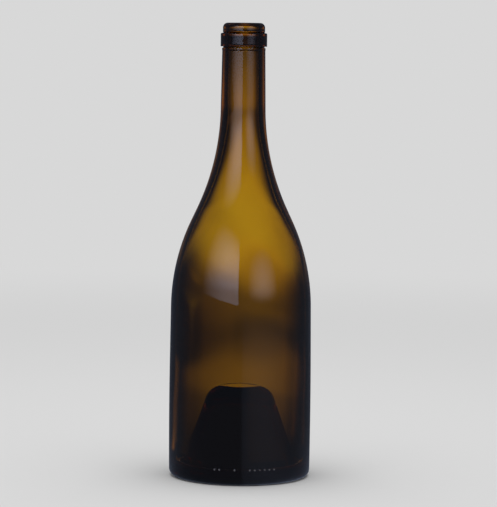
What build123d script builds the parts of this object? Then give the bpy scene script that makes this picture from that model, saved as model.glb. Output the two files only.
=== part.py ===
"""Empty 750 ml wine bottle in the Burgundy shape: one piece of blown glass.

The bottle stands upright with its axis on +Z. The origin is the middle of the
ring that it stands on, and its front is towards -Y. Sizes are in millimetres.
"""
from math import cos, radians, sin, tan
import os

from build123d import *

# Overall form of the outside, from the foot to the mouth.
height = 289.3
foot_radius = 45.05  # where the wall leaves the rounded heel
belly_radius = 45.42  # corner of the very slight belly, before it is rounded
belly_height = 49.5
shoulder_radius = 44.40  # corner between the body and the sloping shoulder
shoulder_height = 137.5
shoulder_slope = 25.0  # degrees from upright
neck_top_radius = 13.65  # just under the finish
neck_taper = 0.85  # degrees from upright

heel_round = 4.1
belly_round = 3000
shoulder_round = 132
neck_round = 154

# Finish: the bead at the mould joint, the string ring and the rounded lip.
bead_radius = 13.80
bead_bottom = 271.6
bead_top = 273.5
ring_radius = 14.75
ring_bottom = 274.3
ring_top = 282.9
ring_round = 1.0
lip_radius = 13.37
lip_bottom = 283.3
lip_round = 3.0
mouth_round = 1.05
groove_radius = 13.15  # the waist between the bead, the ring and the lip
edge_round = 0.35

# Inside: the cork bore widens downwards, and the wall is thickest at the heel.
bore_radius = 9.25  # at the mouth
bore_taper = 0.75  # degrees from upright
wall = 2.95
base_floor_height = 8.6  # lowest point of the gutter round the punt
inner_heel_round = 3.2
gutter_round = 3.0

# Punt: the deep hollow pushed up into the base, a blunt cone with a round crown.
punt_depth = 49.8
punt_slope = 19.5  # degrees from upright
punt_mouth_radius = 34.4  # where the cone would meet the ground
punt_foot_round = 8.0
punt_crown_round = 11.0
punt_crown_glass = 8.0
punt_side_glass = 4.9

# A row of small raised dots that the mould leaves on the front of the heel.
dot_height = 10.0
dot_radius = 0.75
dot_rise = 0.2
dot_pitch = 4.1  # degrees round the bottle
dot_groups = ((-20.0, 2), (-3.6, 1), (8.5, 6))  # first angle and number of dots

# The corner between shoulder and neck lies where their two straight lines meet.
slope_run = tan(radians(shoulder_slope))
taper_run = tan(radians(neck_taper))
neck_top_height = bead_bottom
neck_corner_height = (
    shoulder_radius - neck_top_radius + shoulder_height * slope_run - neck_top_height * taper_run
) / (slope_run - taper_run)
neck_corner_radius = neck_top_radius + (neck_top_height - neck_corner_height) * taper_run

# The inside follows the outside: the same slope, moved in by the wall.
bore_run = tan(radians(bore_taper))
inner_shoulder_radius = shoulder_radius - wall
inner_shoulder_height = shoulder_height - wall * tan(radians(shoulder_slope / 2))
inner_neck_height = (
    inner_shoulder_radius - bore_radius + inner_shoulder_height * slope_run - height * bore_run
) / (slope_run - bore_run)
inner_neck_radius = bore_radius + (height - inner_neck_height) * bore_run
inner_shoulder_round = shoulder_round - wall
inner_neck_round = neck_round + neck_corner_radius - inner_neck_radius

# The punt's cone, outside (under the base) and inside (in the wine).
punt_run = tan(radians(punt_slope))
crown_height = punt_depth + punt_crown_glass
crown_radius = punt_mouth_radius - punt_depth * punt_run
side_offset = punt_side_glass / cos(radians(punt_slope))
inner_crown_radius = punt_mouth_radius + side_offset - crown_height * punt_run
inner_gutter_radius = punt_mouth_radius + side_offset - base_floor_height * punt_run

# A dot is a cap with the given radius and rise, cut from a ball.
ball_radius = (dot_radius**2 + dot_rise**2) / (2 * dot_rise)
wall_at_dots = foot_radius + dot_height * (belly_radius - foot_radius) / belly_height
ball_distance = wall_at_dots + dot_rise - ball_radius

# Each ring of glass round the neck: bottom, top, radius, and the round of its top edge.
collars = (
    (bead_bottom, bead_top, bead_radius, edge_round),
    (ring_bottom, ring_top, ring_radius, ring_round),
    (lip_bottom, height, lip_radius, lip_round),
)

with BuildPart() as bottle:
    with BuildSketch(Plane.XZ) as section:
        # The outside, from the crown of the punt round the heel to the neck.
        with BuildLine():
            outside = FilletPolyline(
                (0, punt_depth),
                (crown_radius, punt_depth),
                (punt_mouth_radius, 0),
                (foot_radius, 0),
                (belly_radius, belly_height),
                (shoulder_radius, shoulder_height),
                (neck_corner_radius, neck_corner_height),
                (neck_top_radius, neck_top_height),
                radius=(
                    punt_crown_round,
                    punt_foot_round,
                    heel_round,
                    belly_round,
                    shoulder_round,
                    neck_round,
                ),
            )
            Polyline(
                outside @ 1,
                (groove_radius, neck_top_height),
                (groove_radius, height - lip_round),
                (0, height - lip_round),
                outside @ 0,
            )
        make_face()

        for low, high, radius, top_round in collars:
            with BuildLine():
                rim = FilletPolyline(
                    (0, low), (radius, low), (radius, high), (0, high),
                    radius=(edge_round, top_round),
                )
                Line(rim @ 1, rim @ 0)
            make_face()

        # The inside, from the crown over the punt to the mouth.
        with BuildLine():
            inside = FilletPolyline(
                (0, crown_height),
                (inner_crown_radius, crown_height),
                (inner_gutter_radius, base_floor_height),
                (foot_radius - wall, base_floor_height),
                (belly_radius - wall, belly_height),
                (inner_shoulder_radius, inner_shoulder_height),
                (inner_neck_radius, inner_neck_height),
                (bore_radius, height),
                radius=(
                    punt_crown_round,
                    gutter_round,
                    inner_heel_round,
                    belly_round,
                    inner_shoulder_round,
                    inner_neck_round,
                ),
            )
            Polyline(inside @ 1, (0, height), inside @ 0)
        make_face(mode=Mode.SUBTRACT)
        mouth = section.vertices().group_by(Axis.Y)[-1].sort_by(Axis.X)[0]
        fillet(mouth, radius=mouth_round)
    revolve(axis=Axis.Z)

    # The dots are caps of small balls sunk into the wall, counted round from the front.
    for first_angle, count in dot_groups:
        for step in range(count):
            angle = radians(first_angle + step * dot_pitch)
            with Locations((ball_distance * sin(angle), -ball_distance * cos(angle), dot_height)):
                Sphere(ball_radius)

bottle.part.label = "bottle"
os.makedirs("parts", exist_ok=True)
export_step(bottle.part, "parts/bottle.step")
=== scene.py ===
"""Looks of an empty amber glass wine bottle in the Burgundy shape.

The bottle is one lathed glass mesh that replaces the CAD node "bottle". It follows the
same outline and has the same dots on its heel, and it adds what the mould leaves on real
glass: two upright seams, and an inner wall that isn't quite even. Round it stand the
floor, the light, and cards that only the glass shows. Sizes are in millimetres where a
name ends in _MM, and otherwise in metres.
"""
import math

import bpy
import numpy as np
from mathutils import Matrix, Vector

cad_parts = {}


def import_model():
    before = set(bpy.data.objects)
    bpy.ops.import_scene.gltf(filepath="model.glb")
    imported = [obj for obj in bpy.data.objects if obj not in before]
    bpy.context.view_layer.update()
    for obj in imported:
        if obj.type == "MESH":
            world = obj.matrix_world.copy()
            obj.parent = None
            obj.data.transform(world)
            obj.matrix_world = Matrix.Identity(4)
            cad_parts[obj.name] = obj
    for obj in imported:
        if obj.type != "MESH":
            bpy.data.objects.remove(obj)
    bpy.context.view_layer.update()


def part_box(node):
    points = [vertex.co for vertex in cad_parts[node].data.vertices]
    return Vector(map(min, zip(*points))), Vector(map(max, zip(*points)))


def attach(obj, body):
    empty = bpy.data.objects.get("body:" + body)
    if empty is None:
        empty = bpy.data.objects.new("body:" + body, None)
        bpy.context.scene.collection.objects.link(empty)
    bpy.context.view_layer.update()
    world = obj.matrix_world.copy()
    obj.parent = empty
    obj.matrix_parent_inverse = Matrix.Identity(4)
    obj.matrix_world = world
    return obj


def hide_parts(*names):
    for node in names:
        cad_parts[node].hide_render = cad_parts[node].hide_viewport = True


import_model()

MM = 0.001

# ---------------------------------------------------------------- outline of the glass

HEIGHT_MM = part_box("bottle")[1].z / MM
FOOT_MM = (45.05, 0.0)
BELLY_MM = (45.42, 49.5)
SHOULDER_MM = (44.40, 137.5)
NECK_TOP_MM = (13.65, 271.6)
SHOULDER_SLOPE = math.radians(25.0)
NECK_TAPER = math.radians(0.85)
HEEL_ROUND_MM = 4.1
BELLY_ROUND_MM = 3000.0
SHOULDER_ROUND_MM = 132.0
NECK_ROUND_MM = 154.0

GROOVE_RADIUS_MM = 13.15
COLLARS_MM = (  # bottom, top, radius, round of the top edge: bead, string ring, lip
    (271.6, 273.5, 13.80, 0.35),
    (274.3, 282.9, 14.75, 1.0),
    (283.3, HEIGHT_MM, 13.37, 3.0),
)
EDGE_ROUND_MM = 0.35
MOUTH_ROUND_MM = 1.05

WALL_MM = 2.95
BORE_RADIUS_MM = 9.25
BORE_TAPER = math.radians(0.75)
GUTTER_HEIGHT_MM = 8.6
INNER_HEEL_ROUND_MM = 3.2
GUTTER_ROUND_MM = 3.0

PUNT_DEPTH_MM = 49.8
PUNT_SLOPE = math.radians(19.5)
PUNT_MOUTH_MM = 34.4
PUNT_FOOT_ROUND_MM = 8.0
PUNT_CROWN_ROUND_MM = 11.0
PUNT_CROWN_GLASS_MM = 8.0
PUNT_SIDE_GLASS_MM = 4.9

# The mould's marks.
DOT_HEIGHT_MM = 10.0
DOT_RADIUS_MM = 0.75
DOT_RISE_MM = 0.2
DOT_PITCH = math.radians(4.1)
DOT_GROUPS = ((math.radians(-20.0), 2), (math.radians(-3.6), 1), (math.radians(8.5), 6))
SEAM_RISE_MM = 0.07
SEAM_WIDTH_MM = 0.45
CLEAR_OF_PUNT_MM = 44.0  # farther out than the punt and the inner wall of the heel

# How finely the mesh is divided. Arcs are cut finer than the straight runs between them.
ARC_STEP_MM = 2.2
COLLAR_ARC_STEP_MM = 0.35
OUTER_ROW_MM = 3.9
INNER_ROW_MM = 4.2
COLLAR_ROW_MM = 1.3
DOT_ROW_MM = 0.2
COLUMN_STEP = 1.9  # degrees, as are the next three: from, to and step
FINE_COLUMNS = ((-22.0, 31.0, 0.45), (88.5, 91.5, 0.25), (268.5, 271.5, 0.25))


def meeting(first, first_run, second, second_run):
    """Where two lines cross. Each passes through (r, z) and loses run of r for each z."""
    z = (first[0] - second[0] + first[1] * first_run - second[1] * second_run) / (
        first_run - second_run
    )
    return second[0] + (second[1] - z) * second_run, z


def rounded(corners, radii, arc_step):
    """A polyline whose inner corners are arcs of the given radii, as an array of (r, z)."""
    corners = [np.array(c, float) for c in corners]
    points = [corners[0]]
    for before, corner, after, radius in zip(corners, corners[1:], corners[2:], radii):
        come = (corner - before) / np.linalg.norm(corner - before)
        go = (after - corner) / np.linalg.norm(after - corner)
        turn = math.atan2(come[0] * go[1] - come[1] * go[0], come @ go)
        side = math.copysign(1.0, turn)
        start = corner - come * radius * math.tan(abs(turn) / 2)
        centre = start + side * radius * np.array((-come[1], come[0]))
        # An arc that is nearly straight needs no more points than a straight run.
        step = max(arc_step, radius / 60)
        count = max(5, math.ceil(abs(turn) * radius / step))
        for angle in np.linspace(0.0, turn, count + 1):
            spoke = start - centre
            c, s = math.cos(angle), math.sin(angle)
            points.append(centre + (c * spoke[0] - s * spoke[1], s * spoke[0] + c * spoke[1]))
    points.append(corners[-1])
    return np.array(points)


def divided(points, longest):
    """The same line, with every straight run cut into pieces no longer than longest."""
    out = [points[0]]
    for a, b in zip(points, points[1:]):
        length = np.linalg.norm(b - a)
        if length < 1e-6:
            continue
        for t in np.arange(1, math.ceil(length / longest) + 1) / math.ceil(length / longest):
            out.append(a + (b - a) * t)
    return np.array(out)


def outer_line():
    """The outside, from the crown of the punt round the heel and up to the mouth."""
    neck = meeting(SHOULDER_MM, math.tan(SHOULDER_SLOPE), NECK_TOP_MM, math.tan(NECK_TAPER))
    crown = PUNT_MOUTH_MM - PUNT_DEPTH_MM * math.tan(PUNT_SLOPE)
    body = rounded(
        [(0, PUNT_DEPTH_MM), (crown, PUNT_DEPTH_MM), (PUNT_MOUTH_MM, 0), FOOT_MM,
         BELLY_MM, SHOULDER_MM, neck, NECK_TOP_MM],
        [PUNT_CROWN_ROUND_MM, PUNT_FOOT_ROUND_MM, HEEL_ROUND_MM,
         BELLY_ROUND_MM, SHOULDER_ROUND_MM, NECK_ROUND_MM],
        ARC_STEP_MM,
    )
    body = divided(body, OUTER_ROW_MM)
    # A row close under the bead keeps the shading of its corner narrow.
    under_bead = body[-1] + (body[-2] - body[-1]) * 0.07
    parts = [np.concatenate([body[:-1], [under_bead], body[-1:]])]
    for low, high, radius, top_round in COLLARS_MM:
        inner = GROOVE_RADIUS_MM if high < HEIGHT_MM else radius - top_round - 0.1
        rim = rounded(
            [(GROOVE_RADIUS_MM, low), (radius, low), (radius, high), (inner, high)],
            [EDGE_ROUND_MM, top_round],
            COLLAR_ARC_STEP_MM,
        )
        parts.append(divided(rim, COLLAR_ROW_MM))
    return np.concatenate(parts)


def inner_line():
    """The inside, from the mouth down the bore and the wall to the crown over the punt."""
    shoulder = (
        SHOULDER_MM[0] - WALL_MM,
        SHOULDER_MM[1] - WALL_MM * math.tan(SHOULDER_SLOPE / 2),
    )
    bore = (BORE_RADIUS_MM, HEIGHT_MM)
    neck = meeting(shoulder, math.tan(SHOULDER_SLOPE), bore, math.tan(BORE_TAPER))
    outer_neck = meeting(SHOULDER_MM, math.tan(SHOULDER_SLOPE), NECK_TOP_MM, math.tan(NECK_TAPER))
    run = math.tan(PUNT_SLOPE)
    cone = PUNT_MOUTH_MM + PUNT_SIDE_GLASS_MM / math.cos(PUNT_SLOPE)
    crown_height = PUNT_DEPTH_MM + PUNT_CROWN_GLASS_MM
    line = rounded(
        [(BORE_RADIUS_MM + MOUTH_ROUND_MM + 0.1, HEIGHT_MM), bore, neck, shoulder,
         (BELLY_MM[0] - WALL_MM, BELLY_MM[1]), (FOOT_MM[0] - WALL_MM, GUTTER_HEIGHT_MM),
         (cone - GUTTER_HEIGHT_MM * run, GUTTER_HEIGHT_MM),
         (cone - crown_height * run, crown_height), (0, crown_height)],
        [MOUTH_ROUND_MM, NECK_ROUND_MM + outer_neck[0] - neck[0], SHOULDER_ROUND_MM - WALL_MM,
         BELLY_ROUND_MM, INNER_HEEL_ROUND_MM, GUTTER_ROUND_MM, PUNT_CROWN_ROUND_MM],
        ARC_STEP_MM,
    )
    return divided(line, INNER_ROW_MM)


# ---------------------------------------------------------------- the glass mesh


def bearings():
    """The angles of the mesh's columns, closer together at the dots and at the two seams."""
    stops = []
    lows = [low for low, _, _ in FINE_COLUMNS]
    for (low, high, step), following in zip(FINE_COLUMNS, lows[1:] + [lows[0] + 360.0]):
        stops.extend(np.arange(low, high, step))
        count = math.ceil((following - high) / COLUMN_STEP)
        stops.extend(np.linspace(high, following, count, endpoint=False))
    return np.radians(stops)


def dot_relief(angle, z):
    """How far the dots lift the wall at each place, in millimetres. Angle 0 is the front."""
    lift = np.zeros(np.broadcast(angle, z).shape)
    for first, count in DOT_GROUPS:
        for k in range(count):
            off = (angle - first - k * DOT_PITCH) * FOOT_MM[0]
            reach = (off**2 + (z - DOT_HEIGHT_MM) ** 2) / DOT_RADIUS_MM**2
            lift += DOT_RISE_MM * np.clip(1 - reach, 0, None)
    return lift


def seam_relief(angle, z):
    """The two upright joints of the mould, a quarter turn each side of the front."""
    arc = np.abs(np.mod(angle, math.pi) - math.pi / 2)
    across = arc * np.interp(z, (0, 110, 200, 290), (45, 45, 15, 14))
    above_heel = np.clip((z - 5.0) / 3.0, 0, 1)
    below_bead = np.clip((273.0 - z) / 2.0, 0, 1)
    return SEAM_RISE_MM * above_heel * below_bead * np.exp(-2 * (across / SEAM_WIDTH_MM) ** 2)


def wall_unevenness(angle, z):
    """Blown glass is never even inside: long, low waves in the thickness of the wall."""
    # Waves in a turn, the length of one upwards, a phase and a height.
    waves = ((2, 61.0, 0.4, 0.10), (3, 97.0, 1.9, 0.07), (5, 43.0, 3.1, 0.045), (1, 140.0, 0.9, 0.12))
    sway = np.zeros(np.broadcast(angle, z).shape)
    for turns, length, phase, size in waves:
        sway += size * np.sin(turns * angle + phase) * np.cos(2 * math.pi * z / length + 2 * phase)
    above_heel = np.clip((z - 12.0) / 25.0, 0, 1)
    below_neck = np.clip((262.0 - z) / 40.0, 0, 1)
    return sway * above_heel * below_neck


def with_extra_rows(line):
    """Adds close rows where the dots are, on the outer wall just above the heel."""
    margin = DOT_RADIUS_MM + 0.55
    start = int(np.argmax((line[:, 1] > DOT_HEIGHT_MM - margin) & (line[:, 0] > FOOT_MM[0] - 0.1)))
    stop = start
    while line[stop, 1] < DOT_HEIGHT_MM + margin:
        stop += 1
    reach = margin - 0.1
    heights = DOT_HEIGHT_MM + np.arange(-reach, reach + DOT_ROW_MM / 2, DOT_ROW_MM)
    radii = np.interp(heights, line[start - 1 : stop + 1, 1], line[start - 1 : stop + 1, 0])
    return np.concatenate([line[:start], np.column_stack([radii, heights]), line[stop:]])


def outer_points(angle):
    """The outside as rows of points, with the dots and the seams raised from the wall."""
    line = with_extra_rows(outer_line())[1:]
    r, z = line[:, :1], line[:, 1:]
    clear_of_punt = (r > CLEAR_OF_PUNT_MM) | (z > PUNT_DEPTH_MM + 10.0)
    on_wall = clear_of_punt & (r > 13.0) & (z > 4.0)
    return ring_points(r + np.where(on_wall, dot_relief(angle, z) + seam_relief(angle, z), 0.0), z, angle)


def inner_points(angle):
    """The inside as rows of points. The bore and the middle of the crown stay even."""
    line = inner_line()[:-1]
    r, z = line[:, :1], line[:, 1:]
    return ring_points(r + np.where(r > 9.6, wall_unevenness(angle, z), 0.0), z, angle)


def ring_points(r, z, angle):
    return np.stack(np.broadcast_arrays(r * np.sin(angle), -r * np.cos(angle), z), axis=2)


def closed_faces(count, columns):
    """Quads between count rings of columns points, and a fan to a last point at each end."""
    first_pole = count * columns
    faces = []
    for j in range(columns):
        k = (j + 1) % columns
        faces.append((first_pole, k, j))
        for i in range(count - 1):
            a, b = i * columns, (i + 1) * columns
            faces.append((a + j, a + k, b + k, b + j))
        last = (count - 1) * columns
        faces.append((last + j, last + k, first_pole + 1))
    return faces


def bottle_mesh():
    """The whole bottle, as one closed mesh. Its second material, a painted glint, is on the tips of the
    dots.
    """
    angle = bearings()
    grid = np.concatenate([outer_points(angle), inner_points(angle)])
    poles = np.array([[0, 0, PUNT_DEPTH_MM], [0, 0, PUNT_DEPTH_MM + PUNT_CROWN_GLASS_MM]])
    points = np.concatenate([grid.reshape(-1, 3), poles]) * MM
    mesh = bpy.data.meshes.new("glass_bottle")
    mesh.from_pydata(points.tolist(), [], closed_faces(*grid.shape[:2]))
    mesh.polygons.foreach_set("use_smooth", np.ones(len(mesh.polygons), bool))
    mesh.update()
    centres = np.empty(len(mesh.polygons) * 3)
    mesh.polygons.foreach_get("center", centres)
    x, y, z = centres.reshape(-1, 3).T / MM
    # The tips of the dots get the painted glint in place of glass.
    on_tip = dot_relief(np.arctan2(x, -y), z) > DOT_RISE_MM / 2
    outside = np.hypot(x, y) > CLEAR_OF_PUNT_MM
    mesh.polygons.foreach_set("material_index", (on_tip & outside).astype(np.int32))
    mesh.materials.append(amber_glass())
    mesh.materials.append(painted_dot_glint())
    return mesh


# ---------------------------------------------------------------- materials


def blank_material(name):
    material = bpy.data.materials.new(name)
    material.use_nodes = True
    material.node_tree.nodes.clear()
    return material, material.node_tree.nodes, material.node_tree.links


def amber_glass():
    """Dark amber glass. Its colour is in its depth, so thick places are darker."""
    material, nodes, links = blank_material("amber_glass")
    out = nodes.new("ShaderNodeOutputMaterial")
    glass = nodes.new("ShaderNodeBsdfPrincipled")
    glass.inputs["Base Color"].default_value = (1.0, 1.0, 1.0, 1.0)
    glass.inputs["IOR"].default_value = 1.52
    glass.inputs["Roughness"].default_value = 0.0
    glass.inputs["Transmission Weight"].default_value = 1.0
    depth = nodes.new("ShaderNodeVolumeAbsorption")
    depth.inputs["Color"].default_value = (0.922, 0.811, 0.005, 1.0)
    depth.inputs["Density"].default_value = 900.0
    links.new(glass.outputs["BSDF"], out.inputs["Surface"])
    links.new(depth.outputs["Volume"], out.inputs["Volume"])
    return material


def painted_dot_glint():
    """The tips of the dots: an opaque, rough grey instead of glass, which paints in their glints."""
    material, nodes, links = blank_material("painted_dot_glint")
    out = nodes.new("ShaderNodeOutputMaterial")
    glint_paint = nodes.new("ShaderNodeBsdfPrincipled")
    glint_paint.inputs["Base Color"].default_value = (0.10, 0.10, 0.11, 1.0)
    glint_paint.inputs["Roughness"].default_value = 0.5
    links.new(glint_paint.outputs["BSDF"], out.inputs["Surface"])
    return material


# ---------------------------------------------------------------- studio

BACKDROP = 0.687  # the pale grey all round, as a linear value
COOL = (0.62, 0.72, 1.0)  # the tint of all that the glass mirrors
WARM = (1.0, 0.78, 0.6)  # the tint of the highest light seen through it
BLACK = (0.0, 0.0, 0.0)
DARK = (0.002, 0.002, 0.003)  # what is seen through the glass where no light is
ROOM_LEVEL = 0.15  # how bright the mirrored room is
ROOM_RADIUS = 3.2
ROOM_TOP = 3.0
SOFTBOX_DISTANCE = 2.5
GLOW_BEARINGS = (1.2, -90.0)  # one light behind the object and one at its left, in degrees


def add_object(name, mesh):
    thing = bpy.data.objects.new(name, mesh)
    bpy.context.scene.collection.objects.link(thing)
    return thing


def seen_directly(nodes, links):
    """1 for the camera and for what glass and gloss show, 0 for light on the object."""
    path = nodes.new("ShaderNodeLightPath")
    total = path.outputs["Is Camera Ray"]
    for name in ("Is Glossy Ray", "Is Transmission Ray"):
        either = nodes.new("ShaderNodeMath")
        either.operation = "MAXIMUM"
        links.new(total, either.inputs[0])
        links.new(path.outputs[name], either.inputs[1])
        total = either.outputs["Value"]
    return total


def floor_material():
    """A pale matt floor near the object, which fades far away into the backdrop."""
    material, nodes, links = blank_material("pale_floor")
    out = nodes.new("ShaderNodeOutputMaterial")
    matt = nodes.new("ShaderNodeBsdfDiffuse")
    matt.inputs["Color"].default_value = (0.67, 0.67, 0.67, 1.0)
    far = nodes.new("ShaderNodeEmission")
    far.inputs["Color"].default_value = (BACKDROP, BACKDROP, BACKDROP, 1.0)
    where = nodes.new("ShaderNodeNewGeometry")
    distance = nodes.new("ShaderNodeVectorMath")
    distance.operation = "LENGTH"
    links.new(where.outputs["Position"], distance.inputs[0])
    fade = nodes.new("ShaderNodeMapRange")
    fade.interpolation_type = "SMOOTHSTEP"
    fade.inputs["From Min"].default_value = 0.35
    fade.inputs["From Max"].default_value = 1.5
    links.new(distance.outputs["Value"], fade.inputs["Value"])
    share = nodes.new("ShaderNodeMath")
    share.operation = "MULTIPLY"
    links.new(fade.outputs["Result"], share.inputs[0])
    links.new(seen_directly(nodes, links), share.inputs[1])
    mix = nodes.new("ShaderNodeMixShader")
    links.new(share.outputs["Value"], mix.inputs["Fac"])
    links.new(matt.outputs["BSDF"], mix.inputs[1])
    links.new(far.outputs["Emission"], mix.inputs[2])
    links.new(mix.outputs["Shader"], out.inputs["Surface"])
    return material


def floor():
    half, drop = 30.0, -0.0002
    mesh = bpy.data.meshes.new("floor")
    corners = [(x * half, y * half, drop) for x, y in ((-1, -1), (1, -1), (1, 1), (-1, 1))]
    mesh.from_pydata(corners, [], [(0, 1, 2, 3)])
    mesh.materials.append(floor_material())
    add_object("floor", mesh)


def world():
    """Plain light from all round, and the pale backdrop behind everything."""
    made = bpy.data.worlds.new("studio")
    bpy.context.scene.world = made
    made.use_nodes = True
    nodes, links = made.node_tree.nodes, made.node_tree.links
    nodes.clear()
    out = nodes.new("ShaderNodeOutputWorld")
    fill = nodes.new("ShaderNodeBackground")
    fill.inputs["Color"].default_value = (1.0, 1.0, 1.0, 1.0)
    fill.inputs["Strength"].default_value = 0.55
    pale = nodes.new("ShaderNodeBackground")
    pale.inputs["Color"].default_value = (BACKDROP, BACKDROP, BACKDROP, 1.0)
    mix = nodes.new("ShaderNodeMixShader")
    links.new(seen_directly(nodes, links), mix.inputs["Fac"])
    links.new(fill.outputs["Background"], mix.inputs[1])
    links.new(pale.outputs["Background"], mix.inputs[2])
    links.new(mix.outputs["Shader"], out.inputs["Surface"])


class Card:
    """A flag or softbox round the object, which the camera looks past and only glass shows."""

    def __init__(self, name, shape, through=True, mirrored=True):
        self.material, self.nodes, self.links = blank_material(name)
        self.place = self.nodes.new("ShaderNodeNewGeometry").outputs["Position"]
        mesh = bpy.data.meshes.new(name)
        mesh.from_pydata(shape[0], [], shape[1])
        mesh.materials.append(self.material)
        thing = add_object(name, mesh)
        thing.visible_camera = False
        thing.visible_diffuse = False
        thing.visible_shadow = False
        thing.visible_transmission = through
        thing.visible_glossy = mirrored
        apart = self.nodes.new("ShaderNodeSeparateXYZ")
        self.links.new(self.place, apart.inputs["Vector"])
        self.height = apart.outputs["Z"]

    def fill_in(self, node, values):
        for socket, value in zip(node.inputs, values):
            if isinstance(value, bpy.types.NodeSocket):
                self.links.new(value, socket)
            else:
                socket.default_value = value

    def maths(self, operation, *values):
        node = self.nodes.new("ShaderNodeMath")
        node.operation = operation
        self.fill_in(node, values)
        return node.outputs["Value"]

    def vector(self, operation, *values):
        node = self.nodes.new("ShaderNodeVectorMath")
        node.operation = operation
        self.fill_in(node, values)
        return node.outputs["Value" if operation in ("DOT_PRODUCT", "LENGTH") else "Vector"]

    def step(self, value, low, high, start=0.0, stop=1.0):
        node = self.nodes.new("ShaderNodeMapRange")
        node.interpolation_type = "SMOOTHSTEP"
        self.fill_in(node, (value, low, high, start, stop))
        return node.outputs["Result"]

    def profile(self, value, base, changes):
        """A level that is base at first, and changes in smooth steps: (start, stop, change)."""
        for start, stop, change in changes:
            base = self.maths("ADD", base, self.step(value, start, stop, 0.0, change))
        return base

    def cosine(self, bearing, distance):
        """The cosine of the angle round the axis between this place and a bearing in degrees."""
        turn = math.radians(bearing)
        aim = (math.sin(turn), math.cos(turn), 0.0)
        return self.maths("DIVIDE", self.vector("DOT_PRODUCT", self.place, aim), distance)

    def sector(self, bearing, distance, full, end):
        """1 within full degrees of a bearing, and 0 beyond end degrees."""
        low, high = math.cos(math.radians(end)), math.cos(math.radians(full))
        return self.step(self.cosine(bearing, distance), low, high)

    def glow(self, bearing, distance, spread):
        """1 at the bearing, and soft to each side. spread is the square of an angle."""
        fall = self.maths("SUBTRACT", self.cosine(bearing, distance), 1.0)
        return self.maths("EXPONENT", self.maths("DIVIDE", fall, spread))

    def brightest(self, levels):
        while len(levels) > 1:
            levels = [self.maths("MAXIMUM", levels[0], levels[1])] + levels[2:]
        return levels[0]

    def shine(self, level, tint, base):
        """Sends out tint times level plus base."""
        out = self.nodes.new("ShaderNodeOutputMaterial")
        light = self.nodes.new("ShaderNodeEmission")
        self.links.new(self.vector("MULTIPLY_ADD", level, tint, base), light.inputs["Color"])
        self.links.new(light.outputs["Emission"], out.inputs["Surface"])
        self.material.cycles.emission_sampling = "NONE"


def lathed(line, columns=96):
    """A surface of revolution through the points (r, z) of line."""
    points, faces = [], []
    for k in range(columns):
        a = 2 * math.pi * k / columns
        points += [(r * math.sin(a), r * math.cos(a), z) for r, z in line]
    count = len(line)
    for k in range(columns):
        a, b = k * count, (k + 1) % columns * count
        faces += [(a + i, b + i, b + i + 1, a + i + 1) for i in range(count - 1)]
    return points, faces


def upright(bearing, distance, width, lows, high):
    """A vertical panel facing the axis. Its lower edge runs from lows[0] on the left to lows[1]."""
    x, y = distance * math.sin(bearing), distance * math.cos(bearing)
    along = (-math.cos(bearing) * width / 2, math.sin(bearing) * width / 2)
    left, right = (x - along[0], y - along[1]), (x + along[0], y + along[1])
    return [(*left, lows[0]), (*right, lows[1]), (*right, high), (*left, high)], [(0, 1, 2, 3)]


def squared(degrees):
    return math.radians(degrees) ** 2


def punt_shade_sheet():
    """A dark sheet just under the glass of the punt, as far down as its foot: painted shade in the
    hollow, seen only through the glass.
    """
    gap, foot = 0.8, 1.5
    line = outer_line()
    line = line[: int(np.argmax(line[:, 1] < foot))]
    line = [(max(r - gap, 0.05) * MM, (z - gap) * MM) for r, z in line]
    card = Card("punt_shade_sheet", lathed(line), mirrored=False)
    card.shine(BLACK, BLACK, DARK)


def ground():
    """A dark table that is seen through the glass, with light on it."""
    card = Card("ground", lathed([(0.001, 0.0), (ROOM_RADIUS, 0.0)]), mirrored=False)
    distance = card.vector("LENGTH", card.place)

    # The two lights, each a strip that runs away from the object.
    spread = card.step(distance, 0.45, 0.68, squared(7.0), squared(4.3))
    spread = card.maths("ADD", spread, card.step(distance, 1.6, ROOM_RADIUS, 0.0, squared(5.3)))
    along = ((0.33, 0.43, 0.07), (0.5, 0.78, -0.122), (0.8, 1.05, 0.072), (1.1, 2.0, 0.5))
    level = card.profile(distance, 0.11, along)
    glows = [card.glow(bearing, distance, spread) for bearing in GLOW_BEARINGS]
    level = card.maths("MULTIPLY", level, card.brightest(glows))

    # Two lit patches, so that the bottle isn't black in a view from higher up.
    front = card.profile(distance, 0.09, ((0.3, 0.6, 0.08), (1.3, 1.6, -0.17)))
    front = card.maths("MULTIPLY", front, card.sector(135.0, distance, 25.0, 38.0))
    back = card.step(distance, 0.52, 0.7, 0.19, 0.0)
    back = card.maths("MULTIPLY", back, card.sector(-45.0, distance, 53.0, 72.5))
    patches = card.maths("MAXIMUM", front, back)

    # Dark aisles through the patches. A level view sees them at the edges of the glass.
    aisles = ((0.0, 39.0, 53.0), (30.0, 32.0, 48.0), (-90.0, 24.0, 36.0), (-125.0, 35.0, 50.0))
    dark = card.brightest([card.sector(middle, distance, full, end) for middle, full, end in aisles])
    patches = card.maths("MULTIPLY", patches, card.maths("SUBTRACT", 1.0, dark))

    level = card.maths("ADD", level, patches)
    clear_of_foot = card.step(distance, 0.11, 0.13)
    level = card.maths("MULTIPLY", level, clear_of_foot)
    far = card.step(distance, 1.0, 2.4)
    tint = card.vector("MULTIPLY_ADD", far, (0.0, 0.21, 0.3), (1.0, 0.76, 0.6))
    card.shine(level, tint, DARK)


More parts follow.
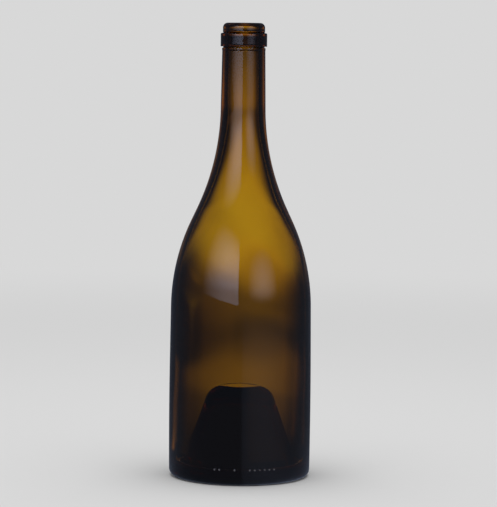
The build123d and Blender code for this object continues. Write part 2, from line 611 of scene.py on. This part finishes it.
def wall():
    """The wall behind the table. The two lights spread on it, and fade upwards."""
    line = [(ROOM_RADIUS, 0.0), (ROOM_RADIUS, ROOM_TOP), (0.001, ROOM_TOP)]
    card = Card("wall", lathed(line), mirrored=False)
    wider = ((-0.1, 0.1, squared(9.5) - squared(1.4)), (0.06, 0.18, squared(8.5)))
    spread = card.profile(card.height, squared(1.4), wider)
    glows = [card.glow(bearing, ROOM_RADIUS, spread) for bearing in GLOW_BEARINGS]
    level = card.profile(card.height, 0.64, ((0.06, 0.31, -0.56), (0.28, 0.36, -0.08)))
    card.shine(card.maths("MULTIPLY", level, card.brightest(glows)), (1.0, 0.97, 0.9), DARK)


def upper_wall():
    """A band of light higher on the wall, which shows in the rims of the collars."""
    radius = ROOM_RADIUS - 0.1
    card = Card("upper_wall", lathed([(radius, 0.4), (radius, 0.62)]), mirrored=False)
    glows = [card.glow(bearing, radius, squared(10.5)) for bearing in GLOW_BEARINGS]
    level = card.profile(card.height, 0.0, ((0.4, 0.46, 0.45), (0.54, 0.62, -0.45)))
    card.shine(card.maths("MULTIPLY", level, card.brightest(glows)), WARM, DARK)


def room():
    """What the glass mirrors: a dim, cool room, with a little light off the floor at the right."""
    radius = ROOM_RADIUS + 0.1
    line = [(0.001, 0.0), (radius, 0.0), (radius, ROOM_TOP), (0.001, ROOM_TOP)]
    card = Card("room", lathed(line), through=False)
    distance = card.vector("LENGTH", card.place)
    level = card.step(card.cosine(0.0, distance), 0.2, 0.9, ROOM_LEVEL, ROOM_LEVEL * 0.6)
    off_floor = card.step(card.cosine(87.0, distance), -0.02, 0.03, 0.0, 0.17)
    off_floor = card.maths("MULTIPLY", off_floor, card.step(distance, 0.8, 1.5, 1.0, 0.0))
    off_floor = card.maths("MULTIPLY", off_floor, card.glow(145.0, distance, squared(30.0)))
    card.shine(card.maths("ADD", level, off_floor), COOL, BLACK)


def softbox(name, bearing, width, lows, high, rise, soft):
    """A glowing panel that only the glass mirrors. Its bearing is in degrees.

    rise is its low and high level, and the heights between which it grows. soft is how
    much of it fades at the left, right and top, as the object sees it.
    """
    turn = math.radians(bearing)
    card = Card(name, upright(turn, SOFTBOX_DISTANCE, width, lows, high), through=False)
    along = (-math.cos(turn) / width, math.sin(turn) / width, 0.0)
    across = card.maths("ADD", card.vector("DOT_PRODUCT", card.place, along), 0.5)
    left, right, top = soft
    low_level, high_level, start, stop = rise
    level = card.step(card.height, start, stop, low_level, high_level)
    level = card.maths("MULTIPLY", level, card.step(across, 0.0, left))
    level = card.maths("MULTIPLY", level, card.step(across, 1.0 - right, 1.0, 1.0, 0.0))
    fade_start = high - top * (high - min(lows))
    level = card.maths("MULTIPLY", level, card.step(card.height, fade_start, high, 1.0, 0.0))
    card.shine(card.maths("MAXIMUM", level, ROOM_LEVEL), COOL, BLACK)


def camera():
    """The viewing angle: level with the mouth, from the front, with a slight roll."""
    distance, height = 1.5939, 0.2747
    pitch, yaw, roll = 0.08272, 0.0028, 0.01163
    forward = Vector((math.sin(yaw) * math.cos(pitch), math.cos(yaw) * math.cos(pitch), -math.sin(pitch)))
    right = Vector((math.cos(yaw), -math.sin(yaw), 0.0))
    up = right.cross(forward)
    side = right * math.cos(roll) + up * math.sin(roll)
    top = up * math.cos(roll) - right * math.sin(roll)
    data = bpy.data.cameras.new("camera")
    data.sensor_width = 36.0
    data.lens = 177.714
    data.clip_start = 0.05
    data.clip_end = 100.0
    thing = add_object("camera", data)
    turn = Matrix((side, top, -forward)).transposed()
    thing.matrix_world = Matrix.Translation((0.0, -distance, height)) @ turn.to_4x4()
    bpy.context.scene.camera = thing


def overhead():
    """A large soft light straight above, which gives the object its shadow on the floor."""
    data = bpy.data.lights.new("overhead", "AREA")
    data.size = 1.5
    data.energy = 20.0
    thing = add_object("overhead", data)
    thing.location.z = 1.8
    thing.visible_camera = False
    thing.visible_glossy = False
    thing.visible_transmission = False


# ---------------------------------------------------------------- the scene

camera()

bottle = add_object("glass_bottle", bottle_mesh())
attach(bottle, "root")
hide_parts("bottle")

floor()
world()
overhead()
punt_shade_sheet()
ground()
wall()
upper_wall()
room()
softbox(
    "softbox_left", bearing=220.0, width=3.63, lows=(0.36, 0.07), high=2.75,
    rise=(1.5, 2.5, 0.35, 0.65), soft=(0.76, 0.01, 0.59),
)
softbox(
    "softbox_right", bearing=143.0, width=3.1, lows=(0.1, 0.1), high=1.8,
    rise=(0.15, 1.5, 0.08, 0.5), soft=(0.5, 0.5, 0.7),
)

view = bpy.context.scene.view_settings
view.view_transform = "Standard"
